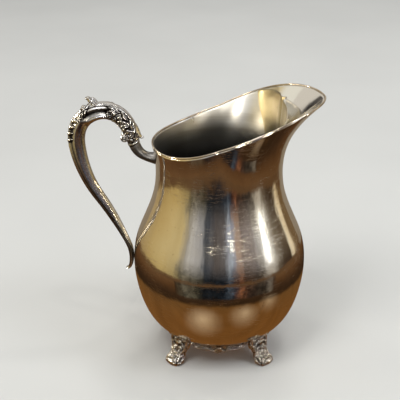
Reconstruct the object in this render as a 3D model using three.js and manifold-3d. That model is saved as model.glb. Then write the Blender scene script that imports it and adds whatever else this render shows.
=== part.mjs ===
// Footed silver water pitcher with an ice guard, one cast scroll handle and four cast feet.
// Millimetres, +Z up. The spout points to +X and the handle to -X; the feet stand on z = 0.
// Every piece is a separate closed solid; soldered neighbours keep a joint gap of 0.3 mm.

import * as THREE from "three";
import { mergeVertices } from "three/addons/utils/BufferGeometryUtils.js";
import Module from "manifold-3d";

const wasm = await Module();
wasm.setup();

// ---- driving dimensions ----------------------------------------------------------------------

const AXIS_X = 19.7; // axis of the round body, ahead of the middle of the whole outline
const WALL = 1.2; // thickness of the spun body
const JOINT_GAP = 0.3; // left between two soldered pieces

// Half section of the round body from its flat base up to the narrowest ring of the neck: [r, z].
const BASE_RADIUS = 30;
const BODY_SECTION = [
  [BASE_RADIUS, 17.8],
  [40, 19.4],
  [50, 23.9],
  [59.6, 31.2],
  [68.2, 45],
  [73.6, 62],
  [76.4, 79],
  [76.6, 93],
  [73.7, 110],
  [67.3, 126],
  [60.4, 143],
  [56.1, 159],
  [54.9, 173],
];

// Mouth: a round half towards the handle, drawn out to a spout, and rising all the way to its tip.
const MOUTH_RADIUS = 57.5;
const SPOUT_REACH = 88.6;
const RIM_LOW = 198.0;
const RIM_HIGH = 237.2;
const LIP_FLARE_BACK = 12; // degrees from upright, at the handle
const LIP_FLARE_SPOUT = 50; // degrees from upright, at the spout tip
const RIM_WIRE_RADIUS = 0.8;

const GUARD_THICKNESS = 0.9;
const GUARD_SKEW = 4; // degrees the guard is turned about its upright middle line
const GUARD_MIDDLE_X = 53.5;

const RING_RADIUS = 47.3; // the ring under the belly that feet and aprons follow
const APRON_THICKNESS = 1.8;
const FOOT_AZIMUTHS = [45, 135, 225, 315];

const AROUND_BODY = 56;
const BELLY_LEVELS = 17;
const SPOUT_LEVELS = 9;

// ---- small helpers ---------------------------------------------------------------------------

const radians = THREE.MathUtils.degToRad;
const mix = THREE.MathUtils.lerp;
const smoothstep = (t) => THREE.MathUtils.smoothstep(t, 0, 1);
const vec = (x, y, z) => new THREE.Vector3(x, y, z);
const rangeOf = (count) => Array.from({ length: count }, (_, i) => i);

// A closed skin over a stack of rings of equal length. The ends are capped, or joined when looped.
function skin(rings, looped = false) {
  const around = rings[0].length;
  const points = rings.flat();
  const triangles = [];
  const bands = looped ? rings.length : rings.length - 1;
  for (let k = 0; k < bands; k++) {
    const low = k * around;
    const high = ((k + 1) % rings.length) * around;
    for (let i = 0; i < around; i++) {
      const j = (i + 1) % around;
      triangles.push(low + i, low + j, high + j);
      triangles.push(low + i, high + j, high + i);
    }
  }
  if (!looped) {
    const cap = (start, flip) => {
      const ring = points.slice(start, start + around);
      const centre = ring.reduce((sum, p) => sum.add(p), vec(0, 0, 0)).divideScalar(around);
      const middle = points.push(centre) - 1;
      for (let i = 0; i < around; i++) {
        const a = start + i;
        const b = start + ((i + 1) % around);
        triangles.push(middle, ...(flip ? [b, a] : [a, b]));
      }
    };
    const lastRing = (rings.length - 1) * around;
    cap(0, true);
    cap(lastRing, false);
  }
  const geometry = new THREE.BufferGeometry();
  geometry.setAttribute(
    "position",
    new THREE.Float32BufferAttribute(points.flatMap((p) => p.toArray()), 3),
  );
  geometry.setIndex(triangles);
  return geometry;
}

// A geometry as a manifold-3d solid, turned right side out if its rings ran the other way.
function solidOf(geometry) {
  const bare = new THREE.BufferGeometry();
  bare.setAttribute("position", geometry.getAttribute("position"));
  bare.setIndex(geometry.getIndex());
  const merged = mergeVertices(bare, 1e-3);
  const build = (triVerts) => {
    const vertProperties = merged.attributes.position.array;
    return new wasm.Manifold(new wasm.Mesh({ numProp: 3, vertProperties, triVerts }));
  };
  const triVerts = new Uint32Array(merged.index.array);
  const solid = build(triVerts);
  if (solid.volume() > 0) return solid;
  for (let i = 0; i < triVerts.length; i += 3) {
    [triVerts[i + 1], triVerts[i + 2]] = [triVerts[i + 2], triVerts[i + 1]];
  }
  return build(triVerts);
}

// A manifold-3d solid as a three.js geometry.
function geometryOf(solid) {
  const mesh = solid.getMesh();
  const positions = [];
  for (let i = 0; i < mesh.numVert; i++) {
    for (let c = 0; c < 3; c++) positions.push(mesh.vertProperties[i * mesh.numProp + c]);
  }
  const geometry = new THREE.BufferGeometry();
  geometry.setAttribute("position", new THREE.Float32BufferAttribute(positions, 3));
  geometry.setIndex([...mesh.triVerts]);
  geometry.computeVertexNormals();
  return geometry;
}

// ---- the spun body and its mouth -------------------------------------------------------------

// How far round from the spout an angle lies, as the spout's share of the mouth: 1 at its tip.
function spoutShare(angle) {
  const turned = Math.abs(Math.atan2(Math.sin(angle), Math.cos(angle))) / (Math.PI / 2);
  return turned < 1 ? Math.pow(1 - Math.pow(turned, 1.38), 1.25) : 0;
}

const mouthRadius = (angle) => mix(MOUTH_RADIUS, SPOUT_REACH, spoutShare(angle));

function rimHeight(x) {
  const along = Math.max(0, (x + MOUTH_RADIUS) / (SPOUT_REACH + MOUTH_RADIUS));
  return mix(RIM_LOW, RIM_HIGH, smoothstep(Math.pow(along, 1.04)));
}

const bellyCurve = new THREE.SplineCurve(BODY_SECTION.map(([r, z]) => new THREE.Vector2(r, z)));

// The upright section of neck and lip at one angle: a Bezier curve in (r, z).
function lipCurve(angle) {
  const [neckRadius, neckZ] = BODY_SECTION.at(-1);
  const radius = mouthRadius(angle);
  const neck = new THREE.Vector2(neckRadius, neckZ);
  const rim = new THREE.Vector2(radius, rimHeight(radius * Math.cos(angle)));
  const reach = neck.distanceTo(rim);
  const flare = radians(mix(LIP_FLARE_BACK, LIP_FLARE_SPOUT, spoutShare(angle)));
  const rise = new THREE.Vector2(0, (rim.y - neck.y) * 0.42);
  const lean = new THREE.Vector2(Math.sin(flare), Math.cos(flare)).multiplyScalar(reach * 0.43);
  return new THREE.CubicBezierCurve(neck, neck.clone().add(rise), rim.clone().sub(lean), rim);
}

// One ring of the wall, moved inwards along the section's normal by the inset.
function wallRing(curveAt, t, inset) {
  return rangeOf(AROUND_BODY).map((i) => {
    const angle = (i / AROUND_BODY) * Math.PI * 2;
    const curve = curveAt(angle);
    const point = curve.getPoint(t);
    const slope = curve.getTangent(t);
    const r = point.x - slope.y * inset;
    const z = point.y + slope.x * inset;
    return vec(r * Math.cos(angle), r * Math.sin(angle), z);
  });
}

// All rings of one face of the wall, from the flat base to just under the rim wire.
function wallRings(inset) {
  const belly = rangeOf(BELLY_LEVELS).map((k) => {
    return wallRing(() => bellyCurve, k / (BELLY_LEVELS - 1), inset);
  });
  const lip = rangeOf(SPOUT_LEVELS).map((k) => {
    return wallRing(lipCurve, (k + 1) / SPOUT_LEVELS, inset);
  });
  const base = belly[0].map((p) => vec(p.x, p.y, BODY_SECTION[0][1] + inset));
  return [base, ...belly.slice(1), ...lip];
}

const bodyShell = skin([...wallRings(0), ...wallRings(WALL).reverse()]);

// The space the body fills from outside, and the space inside it, each with the joint gap.
const bodyKeepOut = solidOf(skin(wallRings(-JOINT_GAP)));
const innerRings = wallRings(WALL + JOINT_GAP);
const raisedMouth = innerRings.at(-1).map((p) => vec(p.x, p.y, p.z + 25));
const insideSpace = solidOf(skin([...innerRings, raisedMouth]));

// The applied wire stands on the edge of the lip, its middle over the middle of the wall.
function rimWire() {
  const sides = 8;
  const standOff = RIM_WIRE_RADIUS + JOINT_GAP + 0.15;
  const rings = rangeOf(AROUND_BODY).map((i) => {
    const angle = (i / AROUND_BODY) * Math.PI * 2;
    const curve = lipCurve(angle);
    const edge = curve.getPoint(1);
    const slope = curve.getTangent(1);
    const r = edge.x + slope.x * standOff - (slope.y * WALL) / 2;
    const z = edge.y + slope.y * standOff + (slope.x * WALL) / 2;
    return rangeOf(sides).map((s) => {
      const turn = (s / sides) * Math.PI * 2;
      const out = r + Math.cos(turn) * RIM_WIRE_RADIUS;
      return vec(out * Math.cos(angle), out * Math.sin(angle), z + Math.sin(turn) * RIM_WIRE_RADIUS);
    });
  });
  return geometryOf(solidOf(skin(rings, true)));
}

// ---- the ice guard ---------------------------------------------------------------------------

// Half of the guard's top edge and of its bottom edge, from the middle out past the wall: [y, x, z].
const GUARD_TOP = [
  [0, 56.0, 238.0],
  [1.6, 54.2, 237.3],
  [5, 52.7, 237.0],
  [15, 53.3, 235.8],
  [27, 52.9, 233.8],
  [38, 50.8, 232.0],
  [48, 46.2, 229.4],
  [58, 39.6, 225.6],
  [66, 33.0, 222.5],
];
const GUARD_BOTTOM = [
  [0, 50.5, 195.0],
  [15, 50.0, 194.0],
  [30, 46.5, 190.5],
  [46, 38.0, 186.0],
  [62, 24.0, 182.0],
];

function guardEdge(points, side) {
  const curve = new THREE.CatmullRomCurve3(points.map(([y, x, z]) => vec(x, side * y, z)));
  return (t) => curve.getPoint(t);
}

function iceGuard() {
  const steps = 16;
  const rings = [];
  for (let i = -steps; i <= steps; i++) {
    const side = i < 0 ? -1 : 1;
    const along = Math.abs(i) / steps;
    const top = guardEdge(GUARD_TOP, side)(along);
    const bottom = guardEdge(GUARD_BOTTOM, side)(along);
    const waist = bottom.clone().lerp(top, 0.55).add(vec(-0.8, 0, 0));
    const outward = vec(1, side * along * 0.9, -0.12).normalize().multiplyScalar(GUARD_THICKNESS);
    const face = [bottom, waist, top];
    const back = face.map((p) => p.clone().add(outward)).reverse();
    rings.push([...face, ...back]);
  }
  const geometry = skin(rings);
  geometry.translate(-GUARD_MIDDLE_X, 0, 0);
  geometry.rotateZ(radians(GUARD_SKEW));
  geometry.translate(GUARD_MIDDLE_X, 0, 0);
  return geometryOf(solidOf(geometry).intersect(insideSpace));
}

// ---- the cast handle -------------------------------------------------------------------------

// Middle line of the casting in the plane y = 0 with its two thicknesses:
// [x, z, thickness in the plane, breadth across it].
const HANDLE_LINE = [
  [-53.0, 183.2, 12.5, 12],
  [-61.4, 184.5, 8.6, 9.5],
  [-69.0, 189.4, 9.3, 9.5],
  [-73.3, 198.5, 10.5, 10.5],
  [-76.2, 210.3, 13.0, 12],
  [-84.0, 221.6, 14.5, 13],
  [-96.2, 226.3, 15.0, 13.5],
  [-107.5, 224.1, 15.2, 13.5],
  [-117.4, 216.0, 15.2, 13],
  [-121.8, 203.2, 15.0, 12.5],
  [-121.2, 190.6, 14.4, 12],
  [-118.2, 176.6, 13.0, 11.5],
  [-114.0, 164.4, 11.6, 11],
  [-108.4, 152.9, 10.6, 10.5],
  [-102.2, 142.7, 9.8, 10],
  [-91.6, 123.4, 7.8, 9.5],
  [-83.8, 106.5, 5.6, 9],
  [-80.2, 96.5, 5.0, 8.5],
  [-79.2, 87.0, 4.4, 8],
  [-80.2, 80.0, 3.4, 7],
  [-82.0, 76.5, 2.6, 6],
];
const CREST_LINE = [
  [-100.0, 229.5, 8.0, 9],
  [-105.5, 232.0, 8.0, 8.5],
  [-108.6, 235.0, 6.0, 7],
  [-109.8, 237.4, 2.4, 4],
];
const KNUCKLE = { x: -80.0, z: 202.6, radius: 3.0, breadth: 8.5 };

// A cast bar: oval sections set square to a line drawn through the given points.
function castBar(line, steps, sides) {
  const path = new THREE.CatmullRomCurve3(line.map(([x, z]) => vec(x, 0, z)), false, "centripetal");
  const sizes = new THREE.SplineCurve(line.map(([, , a, b]) => new THREE.Vector2(a, b)));
  const rings = rangeOf(steps + 1).map((k) => {
    const t = k / steps;
    const centre = path.getPoint(t);
    const slope = path.getTangent(t);
    const size = sizes.getPoint(t);
    const normal = vec(-slope.z, 0, slope.x);
    return rangeOf(sides).map((i) => {
      const turn = (i / sides) * Math.PI * 2;
      const inPlane = normal.clone().multiplyScalar((Math.cos(turn) * size.x) / 2);
      return centre.clone().add(inPlane).add(vec(0, (Math.sin(turn) * size.y) / 2, 0));
    });
  });
  return solidOf(skin(rings));
}

// A short round roll lying across the handle.
function crossRoll({ x, z, radius, breadth }) {
  const sides = 14;
  const rings = [-0.5, 0.5].map((end) => {
    return rangeOf(sides).map((i) => {
      const turn = (i / sides) * Math.PI * 2;
      return vec(x + radius * Math.cos(turn), end * breadth, z + radius * Math.sin(turn));
    });
  });
  return solidOf(skin(rings));
}

function handleCasting() {
  const bar = castBar(HANDLE_LINE, 44, 14);
  const crest = castBar(CREST_LINE, 6, 10);
  return geometryOf(bar.add(crest).add(crossRoll(KNUCKLE)).subtract(bodyKeepOut));
}

// ---- the cast feet and the aprons between them -----------------------------------------------

// Level sections of one foot: [z, distance from the axis, half depth, half breadth].
const FOOT_SECTIONS = [
  [0, 56.3, 5.0, 6.2],
  [2.5, 56.7, 5.4, 6.7],
  [5, 55.2, 5.2, 6.4],
  [8, 52.2, 4.7, 6.1],
  [12, 50.2, 4.2, 7.2],
  [17, 49.2, 4.0, 9.0],
  [22, 49.0, 4.0, 9.8],
  [30, 49.2, 4.0, 9.8],
];

// A point given by its distance from the axis, an angle in degrees and an arc length past it.
function ringPoint(distance, azimuth, arc, z) {
  const angle = radians(azimuth) + arc / RING_RADIUS;
  return vec(distance * Math.cos(angle), distance * Math.sin(angle), z);
}

function footCasting(azimuth) {
  const sides = 20;
  const rings = FOOT_SECTIONS.map(([z, distance, halfDepth, halfBreadth]) => {
    return rangeOf(sides).map((i) => {
      const turn = (i / sides) * Math.PI * 2;
      const round = (v) => Math.sign(v) * Math.pow(Math.abs(v), 0.7);
      const out = distance + halfDepth * round(Math.cos(turn));
      return ringPoint(out, azimuth, halfBreadth * round(Math.sin(turn)), z);
    });
  });
  return geometryOf(solidOf(skin(rings)).subtract(bodyKeepOut));
}

// Lower edge of an apron: a shell in the middle, a beaded run, and an arch up to each foot.
function apronEdge(degreesFromMiddle) {
  const shell = 2.6 * Math.exp(-Math.pow(degreesFromMiddle / 6, 2));
  const arch = 2.1 * smoothstep((Math.abs(degreesFromMiddle) - 23) / 7);
  return 17.2 - shell + arch;
}

function apronCasting(azimuth) {
  const footHalf = FOOT_SECTIONS.at(-1)[3] + JOINT_GAP;
  const halfSpan = 45 - THREE.MathUtils.radToDeg(footHalf / RING_RADIUS);
  const steps = 22;
  const inner = RING_RADIUS - APRON_THICKNESS / 2;
  const outer = RING_RADIUS + APRON_THICKNESS / 2;
  const rings = rangeOf(steps + 1).map((k) => {
    const off = mix(-halfSpan, halfSpan, k / steps);
    const low = apronEdge(off);
    return [
      ringPoint(inner, azimuth + off, 0, low),
      ringPoint(outer, azimuth + off, 0, low),
      ringPoint(outer, azimuth + off, 0, 28),
      ringPoint(inner, azimuth + off, 0, 28),
    ];
  });
  return geometryOf(solidOf(skin(rings)).subtract(bodyKeepOut));
}

// ---- assembly --------------------------------------------------------------------------------

const finishes = {
  plate: { color: 0xc9c0ab, roughness: 0.16, metalness: 1 },
  wire: { color: 0xd8d1c1, roughness: 0.2, metalness: 1 },
  casting: { color: 0xb8b0a0, roughness: 0.28, metalness: 1 },
};

const pitcher = new THREE.Group();
pitcher.name = "silver_water_pitcher";

function place(name, geometry, finish) {
  geometry.computeVertexNormals();
  const mesh = new THREE.Mesh(geometry, new THREE.MeshStandardMaterial(finishes[finish]));
  mesh.name = name;
  mesh.position.x = AXIS_X;
  pitcher.add(mesh);
}

place("body_shell", bodyShell, "plate");
place("rim_wire", rimWire(), "wire");
place("ice_guard", iceGuard(), "plate");
place("handle", handleCasting(), "casting");

const footNames = ["foot_back_right", "foot_back_left", "foot_front_left", "foot_front_right"];
footNames.forEach((name, i) => place(name, footCasting(FOOT_AZIMUTHS[i]), "casting"));

const apronNames = ["apron_right", "apron_back", "apron_left", "apron_front"];
apronNames.forEach((name, i) => place(name, apronCasting(i * 90), "casting"));

export default pitcher;
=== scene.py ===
"""Looks of the silver water pitcher: plated sheet body, ice guard, cast handle, feet and aprons.

Shapes are worked out in millimetres from the axis of the round body and placed in metres in the
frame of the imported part. The spout points to +X, the handle to -X, and the feet stand on z = 0.
"""

import math

import bpy
import numpy as np
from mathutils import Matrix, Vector


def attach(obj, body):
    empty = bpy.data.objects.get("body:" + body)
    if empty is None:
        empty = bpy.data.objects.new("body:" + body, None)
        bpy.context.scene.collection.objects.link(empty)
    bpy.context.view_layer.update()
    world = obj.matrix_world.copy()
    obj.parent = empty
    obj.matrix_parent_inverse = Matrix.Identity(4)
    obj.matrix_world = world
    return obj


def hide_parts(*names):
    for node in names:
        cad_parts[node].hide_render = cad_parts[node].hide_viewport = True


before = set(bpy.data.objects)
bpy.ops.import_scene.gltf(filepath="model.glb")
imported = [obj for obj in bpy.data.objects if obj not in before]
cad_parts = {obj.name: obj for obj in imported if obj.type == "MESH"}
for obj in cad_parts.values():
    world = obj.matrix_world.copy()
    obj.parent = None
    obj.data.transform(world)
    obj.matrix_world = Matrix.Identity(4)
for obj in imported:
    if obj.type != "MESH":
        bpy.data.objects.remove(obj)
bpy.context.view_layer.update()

# ---- driving dimensions, in millimetres -------------------------------------------------------

AXIS_X = 19.7
WALL = 1.2

# Half section of the round body from its flat base up to the narrowest ring of the neck: r, z.
BODY_SECTION = [
    (30, 17.8),
    (40, 19.4),
    (50, 23.9),
    (59.6, 31.2),
    (68.2, 45),
    (73.6, 62),
    (76.4, 79),
    (76.6, 93),
    (73.7, 110),
    (67.3, 126),
    (60.4, 143),
    (56.1, 159),
    (54.9, 173),
]
MOUTH_RADIUS = 57.5
SPOUT_REACH = 88.6
RIM_LOW = 198.0
RIM_HIGH = 237.2
LIP_FLARE_BACK = 12
LIP_FLARE_SPOUT = 50
RIM_WIRE_RADIUS = 0.8
SECTION_SOFTENING = 4.0

GUARD_THICKNESS = 0.9
GUARD_SKEW = 4
GUARD_MIDDLE_X = 53.5
GUARD_BOW = 0.8
GUARD_GAP = 0.15
GUARD_RUN_OUT = 1.6
GUARD_RUN_OUT_REACH = 14
GUARD_BEAD = 0.45

RING_RADIUS = 47.3
APRON_THICKNESS = 1.8
FOOT_HALF_SPAN = 10.1
FOOT_SQUARENESS = 0.62
APRON_HEIGHT = 6.4
APRON_LUMP_PITCH = 2.75
APRON_LUMP_HEIGHT = 0.7
GAP_UNDER_BELLY = 0.05

AROUND_BODY = 256
WALL_LEVELS = 150
NECK_LEVEL = 70

# The stage, in metres: rings of card round the axis of the body, and a flat card behind.
ROOM_RADIUS = 0.39
NEAR_RADIUS = 0.215
CARD_TOP = 0.62
WALL_CARD_Y = 0.25


# ---- curves and meshes ------------------------------------------------------------------------


def smoothstep(t):
    t = np.clip(t, 0, 1)
    return t * t * (3 - 2 * t)


def bell(distance, width):
    return np.exp(-((distance / width) ** 2))


def mix(a, b, t):
    return a + (b - a) * t


class SmoothLine:
    """A cubic spline through rows of numbers, walked by the length of its first columns."""

    def __init__(self, rows, space=2):
        self.rows = np.array(rows, float)
        gaps = np.linalg.norm(np.diff(self.rows[:, :space], axis=0), axis=1)
        self.station = np.concatenate([[0], np.cumsum(gaps)])
        self.length = self.station[-1]
        count = len(self.rows)
        system = np.eye(count)
        target = np.zeros_like(self.rows)
        slope = np.diff(self.rows, axis=0) / gaps[:, None]
        for i in range(1, count - 1):
            system[i, i - 1 : i + 2] = gaps[i - 1], 2 * (gaps[i - 1] + gaps[i]), gaps[i]
            target[i] = 6 * (slope[i] - slope[i - 1])
        self.bend = np.linalg.solve(system, target)

    def at(self, where):
        where = np.clip(np.atleast_1d(np.asarray(where, float)), 0, self.length)
        i = np.clip(np.searchsorted(self.station, where, "right") - 1, 0, len(self.rows) - 2)
        gap = (self.station[i + 1] - self.station[i])[:, None]
        b = (where - self.station[i])[:, None] / gap
        a = 1 - b
        bent = (a**3 - a) * self.bend[i] + (b**3 - b) * self.bend[i + 1]
        return a * self.rows[i] + b * self.rows[i + 1] + bent * gap**2 / 6

    def even(self, count):
        return self.at(np.linspace(0, self.length, count))


def evened(line, count):
    """The same polyline with its points evenly spaced."""
    station = np.concatenate([[0], np.cumsum(np.linalg.norm(np.diff(line, axis=0), axis=1))])
    where = np.linspace(0, station[-1], count)
    return np.stack([np.interp(where, station, line[:, c]) for c in range(line.shape[1])], 1)


def averaged(longer, reach, spread):
    """A polyline in a plane averaged along its length, shorter by reach points at each end."""
    weights = np.exp(-0.5 * (np.arange(-reach, reach + 1) / spread) ** 2)
    weights /= weights.sum()
    return np.stack([np.convolve(longer[:, c], weights, "valid") for c in range(2)], 1)


def softened(line, spread):
    """The polyline averaged along its length, its two ends kept where they are."""
    reach = int(math.ceil(spread * 3))
    before = 2 * line[0] - line[reach:0:-1]
    after = 2 * line[-1] - line[-2 : -reach - 2 : -1]
    return averaged(np.vstack([before, line, after]), reach, spread)


def grid_faces(rows, columns, closed_rows=False, closed_columns=False):
    """Four-sided faces over a grid of points numbered row by row."""
    faces = []
    for i in range(rows if closed_rows else rows - 1):
        for j in range(columns if closed_columns else columns - 1):
            a, b = i * columns, (i + 1) % rows * columns
            k = (j + 1) % columns
            faces.append((a + j, a + k, b + k, b + j))
    return faces


def grid_normals(grid, closed_columns=False):
    """Unit normals of a grid of points, from the differences between neighbours."""
    down = np.gradient(grid, axis=0)
    if closed_columns:
        across = np.roll(grid, -1, axis=1) - np.roll(grid, 1, axis=1)
    else:
        across = np.gradient(grid, axis=1)
    normal = np.cross(across, down)
    return normal / np.maximum(np.linalg.norm(normal, axis=2, keepdims=True), 1e-9)


def blurred(values, passes):
    """A grid of numbers averaged with its neighbours, its rows closed on themselves."""
    for _ in range(passes):
        up = np.vstack([values[:1], values[:-1]])
        down = np.vstack([values[1:], values[-1:]])
        left, right = np.roll(values, 1, 1), np.roll(values, -1, 1)
        values = (values * 2 + up + down + left + right) / 6
    return values


class Piece:
    """Collects points and faces for one object, with a hollowness number at every point, which
    also carries painted dark reflection on the handle.
    """

    def __init__(self):
        self.points = []
        self.faces = []
        self.hollow = []
        self.finish = []

    def add(self, points, faces, hollow=None, finish=0):
        start = sum(len(p) for p in self.points)
        points = np.asarray(points, float).reshape(-1, 3)
        self.points.append(points)
        self.faces += [tuple(start + i for i in face) for face in faces]
        self.finish += [finish] * len(faces)
        flat = np.zeros(len(points)) if hollow is None else np.asarray(hollow, float).ravel()
        self.hollow.append(flat)

    def add_tube(self, grid, hollow=None):
        """A grid whose rows are closed rings, with both ends closed by a fan."""
        rows, columns = grid.shape[:2]
        points = np.vstack([grid.reshape(-1, 3), grid[0].mean(0), grid[-1].mean(0)])
        faces = grid_faces(rows, columns, closed_columns=True)
        first, last = rows * columns, rows * columns + 1
        for j in range(columns):
            k = (j + 1) % columns
            faces.append((first, k, j))
            faces.append((last, (rows - 1) * columns + j, (rows - 1) * columns + k))
        if hollow is not None:
            hollow = np.concatenate([np.asarray(hollow).ravel(), [0, 0]])
        self.add(points, faces, hollow)

    def build(self, name, materials, replaces):
        points = np.vstack(self.points) / 1000
        points[:, 0] += AXIS_X / 1000
        mesh = bpy.data.meshes.new(name)
        mesh.from_pydata(points.tolist(), [], self.faces)
        for material in materials:
            mesh.materials.append(material)
        mesh.polygons.foreach_set("material_index", self.finish)
        mesh.polygons.foreach_set("use_smooth", [True] * len(self.faces))
        layer = mesh.attributes.new("hollow", "FLOAT", "POINT")
        layer.data.foreach_set("value", np.concatenate(self.hollow))
        mesh.validate()
        mesh.update()
        piece = bpy.data.objects.new(name, mesh)
        bpy.context.scene.collection.objects.link(piece)
        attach(piece, "root")
        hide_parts(*replaces)
        return piece


def ridge(u, v, path, width, height, taper=0.0):
    """Height of a rounded ridge drawn along a smooth path over an unrolled surface."""
    line = SmoothLine(path).even(6 * len(path))
    nearest = np.full(u.shape, np.inf)
    for k, ((u0, v0), (u1, v1)) in enumerate(zip(line, line[1:])):
        du, dv = u1 - u0, v1 - v0
        along = np.clip(((u - u0) * du + (v - v0) * dv) / (du * du + dv * dv), 0, 1)
        gone = (k + along) / (len(line) - 1)
        reach = width * (1 - taper * gone)
        nearest = np.minimum(nearest, np.hypot(u - u0 - along * du, v - v0 - along * dv) / reach)
    return height * np.clip(1 - nearest**2, 0, 1) ** 0.7


def boss(u, v, centre, radius, height):
    """Height of a round bead on an unrolled surface."""
    away = np.hypot(u - centre[0], v - centre[1]) / radius
    return height * np.sqrt(np.clip(1 - away**2, 0, 1))


def spiral(centre, radius, turns, start, hand=1, points=12):
    """Path of a scroll that winds in to its centre."""
    path = []
    for k in range(points):
        t = k / (points - 1)
        angle = math.radians(start) + hand * turns * 2 * math.pi * t
        reach = radius * (1 - 0.8 * t)
        path.append((centre[0] + reach * math.cos(angle), centre[1] + reach * math.sin(angle)))
    return path


# ---- materials --------------------------------------------------------------------------------

# Radius in metres at which the patterns on the wall are unrolled.
MEAN_RADIUS = 0.065


class Finish:
    """One node material, built by chaining small helpers."""

    def __init__(self, name):
        self.material = bpy.data.materials.new(name)
        self.material.use_nodes = True
        self.tree = self.material.node_tree
        self.tree.nodes.clear()
        self.out = self.node("ShaderNodeOutputMaterial")
        self.where = self.node("ShaderNodeTexCoord").outputs["Object"]

    def node(self, kind, **settings):
        made = self.tree.nodes.new(kind)
        for key, value in settings.items():
            setattr(made, key, value)
        return made

    def feed(self, socket, value):
        if isinstance(value, bpy.types.NodeSocket):
            self.tree.links.new(value, socket)
        elif isinstance(value, (tuple, list)) and len(value) == 3 and socket.type == "RGBA":
            socket.default_value = (*value, 1)
        else:
            socket.default_value = value

    def math(self, operation, a, b=0.0, clamp=False):
        made = self.node("ShaderNodeMath", operation=operation, use_clamp=clamp)
        self.feed(made.inputs[0], a)
        self.feed(made.inputs[1], b)
        return made.outputs[0]

    def plus(self, a, b, clamp=False):
        return self.math("ADD", a, b, clamp)

    def minus(self, a, b):
        return self.math("SUBTRACT", a, b)

    def times(self, a, b, clamp=False):
        return self.math("MULTIPLY", a, b, clamp)

    def length(self, a, b):
        """The long side of a right triangle whose short sides are a and b."""
        return self.math("SQRT", self.plus(self.times(a, a), self.times(b, b)))

    def place(self, middle_x=AXIS_X / 1000):
        """X from the axis of the body or from another middle, then Y and the height, in metres."""
        split = self.node("ShaderNodeSeparateXYZ")
        self.feed(split.inputs[0], self.where)
        return self.minus(split.outputs[0], middle_x), split.outputs[1], split.outputs[2]

    def azimuth(self):
        """Angle round the axis in radians: 0 towards the camera, a quarter turn towards the spout."""
        x, y, _ = self.place()
        return self.math("ARCTAN2", x, self.times(y, -1.0))

    def waver(self, noise, size):
        """Noise centred on 0, so that it moves an edge both ways."""
        return self.times(self.minus(noise, 0.5), size)

    def noise(self, scale, detail=3.0, where=None, roughness=0.5, distortion=0.0):
        made = self.node("ShaderNodeTexNoise")
        self.feed(made.inputs["Vector"], where or self.where)
        made.inputs["Scale"].default_value = scale
        made.inputs["Detail"].default_value = detail
        made.inputs["Roughness"].default_value = roughness
        made.inputs["Distortion"].default_value = distortion
        return made.outputs["Fac"]

    def ramp(self, factor, *stops):
        made = self.node("ShaderNodeValToRGB")
        self.feed(made.inputs[0], factor)
        elements = made.color_ramp.elements
        while len(elements) < len(stops):
            elements.new(0.5)
        for element, (place, colour) in zip(elements, stops):
            element.position = place
            grey = isinstance(colour, (int, float))
            element.color = (colour, colour, colour, 1) if grey else (*colour, 1)
        return made.outputs[0]

    def blend(self, factor, a, b, kind="MIX"):
        made = self.node("ShaderNodeMix", data_type="RGBA", blend_type=kind)
        self.feed(made.inputs[0], factor)
        self.feed(made.inputs[6], a)
        self.feed(made.inputs[7], b)
        return made.outputs[2]

    def scaled(self, scale, turn=(0, 0, 0), where=None):
        made = self.node("ShaderNodeMapping")
        self.feed(made.inputs["Vector"], where or self.where)
        made.inputs["Scale"].default_value = scale
        made.inputs["Rotation"].default_value = [math.radians(t) for t in turn]
        return made.outputs[0]

    def wrapped(self):
        """Arc length, height and distance from the axis of the body, in metres."""
        x, y, height = self.place()
        made = self.node("ShaderNodeCombineXYZ")
        self.feed(made.inputs[0], self.times(self.math("ARCTAN2", y, x), MEAN_RADIUS))
        self.feed(made.inputs[1], height)
        self.feed(made.inputs[2], self.length(x, y))
        return made.outputs[0], height

    def scratches(self, where, turn, fineness, length, width=0.012):
        """Thin broken lines that run one way: 1 on a scratch, 0 beside it."""
        field = self.noise(1.0, 2.0, self.scaled((length, fineness, length), (0, 0, turn), where))
        line = self.ramp(field, (0.5 - width, 0.0), (0.5, 1.0), (0.5 + width, 0.0))
        gaps = self.noise(38.0, 2.0, self.scaled((1, 1, 1), (0, 0, turn), where))
        kept = self.ramp(gaps, (0.52, 0.0), (0.62, 1.0))
        return self.times(line, kept)

    def bump(self, height, strength, distance, normal=None):
        made = self.node("ShaderNodeBump")
        made.inputs["Strength"].default_value = strength
        made.inputs["Distance"].default_value = distance
        self.feed(made.inputs["Height"], height)
        if normal is not None:
            self.feed(made.inputs["Normal"], normal)
        return made.outputs[0]

    def metal(self, colour, roughness, normal):
        made = self.node("ShaderNodeBsdfPrincipled")
        made.inputs["Metallic"].default_value = 1.0
        self.feed(made.inputs["Base Color"], colour)
        self.feed(made.inputs["Roughness"], roughness)
        self.feed(made.inputs["Normal"], normal)
        self.tree.links.new(made.outputs[0], self.out.inputs[0])
        return self.material


def linear(red, green, blue):
    """A screen colour, 0 to 255 a channel, as the linear numbers that shaders use."""
    return tuple(((c / 255 + 0.055) / 1.055) ** 2.4 if c > 10 else c / 3300 for c in (red, green, blue))


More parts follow.
